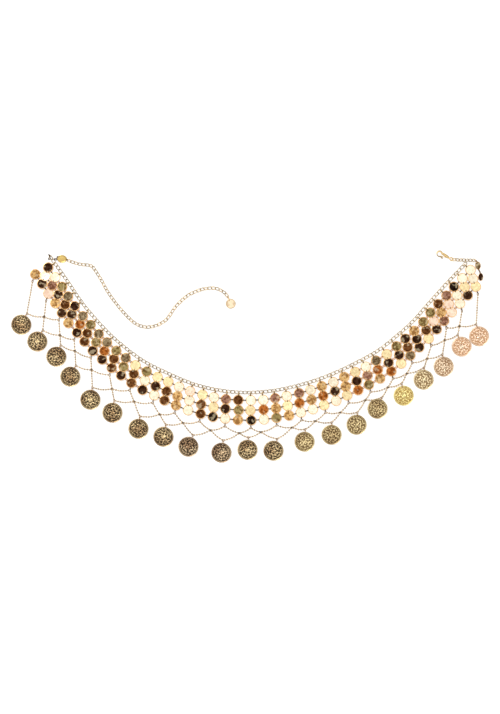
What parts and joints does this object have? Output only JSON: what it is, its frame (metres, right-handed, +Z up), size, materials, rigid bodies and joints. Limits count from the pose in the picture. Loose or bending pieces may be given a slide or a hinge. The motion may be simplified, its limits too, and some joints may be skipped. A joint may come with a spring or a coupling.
{
  "type": "coin belt",
  "caption": "Metal coin belt laid flat: a waist chain with rows of linked discs, a net of fine chain and a fringe of hinged coins, with an extension chain, a tag and a lobster clasp",
  "frame": {"origin": "centre of the underside: the middle of the footprint on the surface the belt lies on", "axes": "+X from the tag end to the clasp end, +Y from the fringe towards the open side of the curve, +Z up off the surface"},
  "size_m": [0.61, 0.2708, 0.0047],
  "materials": {
    "waist_chain": "bright champagne gold curb links",
    "discs": "mirror-bright plated discs, tones from pale gold to copper brown",
    "net_chain": "fine bright gold links",
    "coins": "antique gold relief with dark recesses",
    "tag": "polished yellow gold",
    "extension_chain": "thin pale gold links",
    "clasp": "polished gold"
  },
  "bodies": {
    "belt": {"waist_chain_a": "waist_chain", "waist_chain_b": "waist_chain", "waist_chain_c": "waist_chain", "waist_chain_d": "waist_chain", "waist_chain_e": "waist_chain", "disc_row_1_a": "discs", "disc_row_1_b": "discs", "disc_row_1_c": "discs", "disc_row_1_d": "discs", "disc_row_1_e": "discs", "disc_row_2_a": "discs", "disc_row_2_b": "discs", "disc_row_2_c": "discs", "disc_row_2_d": "discs", "disc_row_2_e": "discs", "disc_row_3_a": "discs", "disc_row_3_b": "discs", "disc_row_3_c": "discs", "disc_row_3_d": "discs", "disc_row_3_e": "discs", "disc_end_pair": "discs", "net_a": "net_chain", "net_b": "net_chain", "net_c": "net_chain", "net_d": "net_chain", "net_e": "net_chain", "oval_tag": "tag", "extension_a": "extension_chain", "extension_b": "extension_chain", "extension_c": "extension_chain", "extension_d": "extension_chain", "extension_e": "extension_chain", "clasp_chain": "clasp", "clasp_body": "clasp"},
    "coin_01": {"coin_01": "coins"},
    "coin_02": {"coin_02": "coins"},
    "coin_03": {"coin_03": "coins"},
    "coin_04": {"coin_04": "coins"},
    "coin_05": {"coin_05": "coins"},
    "coin_06": {"coin_06": "coins"},
    "coin_07": {"coin_07": "coins"},
    "coin_08": {"coin_08": "coins"},
    "coin_09": {"coin_09": "coins"},
    "coin_10": {"coin_10": "coins"},
    "coin_11": {"coin_11": "coins"},
    "coin_12": {"coin_12": "coins"},
    "coin_13": {"coin_13": "coins"},
    "coin_14": {"coin_14": "coins"},
    "coin_15": {"coin_15": "coins"},
    "coin_16": {"coin_16": "coins"},
    "coin_17": {"coin_17": "coins"},
    "coin_18": {"coin_18": "coins"},
    "coin_19": {"coin_19": "coins"},
    "coin_20": {"coin_20": "coins"},
    "coin_21": {"coin_21": "coins"},
    "end_disc": {"end_disc": "tag"},
    "clasp_lever": {"clasp_lever": "clasp"}
  },
  "joints": [
    {"name": "coin_01_swing", "type": "hinge", "parent": "belt", "child": "coin_01", "pos_m": [-0.28712, 0.05201, 0.00235], "axis": [-0.8988, 0.4384, 0], "range_deg": [0, 120]},
    {"name": "coin_02_swing", "type": "hinge", "parent": "belt", "child": "coin_02", "pos_m": [-0.26682, 0.0306, 0.00235], "axis": [-0.9063, 0.4226, 0], "range_deg": [0, 120]},
    {"name": "coin_03_swing", "type": "hinge", "parent": "belt", "child": "coin_03", "pos_m": [-0.24354, 0.01162, 0.00235], "axis": [-0.9397, 0.342, 0], "range_deg": [0, 120]},
    {"name": "coin_04_swing", "type": "hinge", "parent": "belt", "child": "coin_04", "pos_m": [-0.22442, -0.01449, 0.00235], "axis": [-0.8988, 0.4384, 0], "range_deg": [0, 120]},
    {"name": "coin_05_swing", "type": "hinge", "parent": "belt", "child": "coin_05", "pos_m": [-0.2024, -0.04287, 0.00235], "axis": [-0.9877, 0.1564, 0], "range_deg": [0, 120]},
    {"name": "coin_06_swing", "type": "hinge", "parent": "belt", "child": "coin_06", "pos_m": [-0.17442, -0.05943, 0.00235], "axis": [-0.9903, 0.1392, 0], "range_deg": [0, 120]},
    {"name": "coin_07_swing", "type": "hinge", "parent": "belt", "child": "coin_07", "pos_m": [-0.14156, -0.07988, 0.00235], "axis": [-0.9945, 0.1045, 0], "range_deg": [0, 120]},
    {"name": "coin_08_swing", "type": "hinge", "parent": "belt", "child": "coin_08", "pos_m": [-0.10847, -0.09024, 0.00235], "axis": [-0.9816, 0.1908, 0], "range_deg": [0, 120]},
    {"name": "coin_09_swing", "type": "hinge", "parent": "belt", "child": "coin_09", "pos_m": [-0.07434, -0.10365, 0.00235], "axis": [-0.9336, 0.3584, 0], "range_deg": [0, 120]},
    {"name": "coin_10_swing", "type": "hinge", "parent": "belt", "child": "coin_10", "pos_m": [-0.03492, -0.11063, 0.00235], "axis": [-0.9903, 0.1392, 0], "range_deg": [0, 120]},
    {"name": "coin_11_swing", "type": "hinge", "parent": "belt", "child": "coin_11", "pos_m": [-0.0025, -0.10674, 0.00235], "axis": [-0.9976, 0.0698, 0], "range_deg": [0, 120]},
    {"name": "coin_12_swing", "type": "hinge", "parent": "belt", "child": "coin_12", "pos_m": [0.03384, -0.10853, 0.00235], "axis": [-0.9511, 0.309, 0], "range_deg": [0, 120]},
    {"name": "coin_13_swing", "type": "hinge", "parent": "belt", "child": "coin_13", "pos_m": [0.07028, -0.09643, 0.00235], "axis": [-0.9986, 0.0523, 0], "range_deg": [0, 120]},
    {"name": "coin_14_swing", "type": "hinge", "parent": "belt", "child": "coin_14", "pos_m": [0.10433, -0.08751, 0.00235], "axis": [-0.9998, 0.0175, 0], "range_deg": [0, 120]},
    {"name": "coin_15_swing", "type": "hinge", "parent": "belt", "child": "coin_15", "pos_m": [0.137, -0.07474, 0.00235], "axis": [-0.9976, 0.0698, 0], "range_deg": [0, 120]},
    {"name": "coin_16_swing", "type": "hinge", "parent": "belt", "child": "coin_16", "pos_m": [0.16777, -0.05513, 0.00235], "axis": [-0.9272, 0.3746, 0], "range_deg": [0, 120]},
    {"name": "coin_17_swing", "type": "hinge", "parent": "belt", "child": "coin_17", "pos_m": [0.19432, -0.03767, 0.00235], "axis": [-0.9877, -0.1564, 0], "range_deg": [0, 120]},
    {"name": "coin_18_swing", "type": "hinge", "parent": "belt", "child": "coin_18", "pos_m": [0.22258, -0.01713, 0.00235], "axis": [-0.9986, 0.0523, 0], "range_deg": [0, 120]},
    {"name": "coin_19_swing", "type": "hinge", "parent": "belt", "child": "coin_19", "pos_m": [0.2464, -0.00046, 0.00235], "axis": [-0.9962, -0.0872, 0], "range_deg": [0, 120]},
    {"name": "coin_20_swing", "type": "hinge", "parent": "belt", "child": "coin_20", "pos_m": [0.26659, 0.02457, 0.00235], "axis": [-0.9511, -0.309, 0], "range_deg": [0, 120]},
    {"name": "coin_21_swing", "type": "hinge", "parent": "belt", "child": "coin_21", "pos_m": [0.28995, 0.03807, 0.00235], "axis": [-0.9744, -0.225, 0], "range_deg": [0, 120]},
    {"name": "end_disc_swing", "type": "hinge", "parent": "belt", "child": "end_disc", "pos_m": [-0.02727, 0.07302, 0.00235], "axis": [-0.9224, -0.3861, 0], "range_deg": [0, 120]},
    {"name": "clasp_lever_gate", "type": "hinge", "parent": "belt", "child": "clasp_lever", "pos_m": [0.24546, 0.12755, 0.0013], "axis": [0, 0, -1], "range_deg": [0, 24], "stiffness_Nm_per_rad": 0.004, "springref_deg": -20.05}
  ]
}
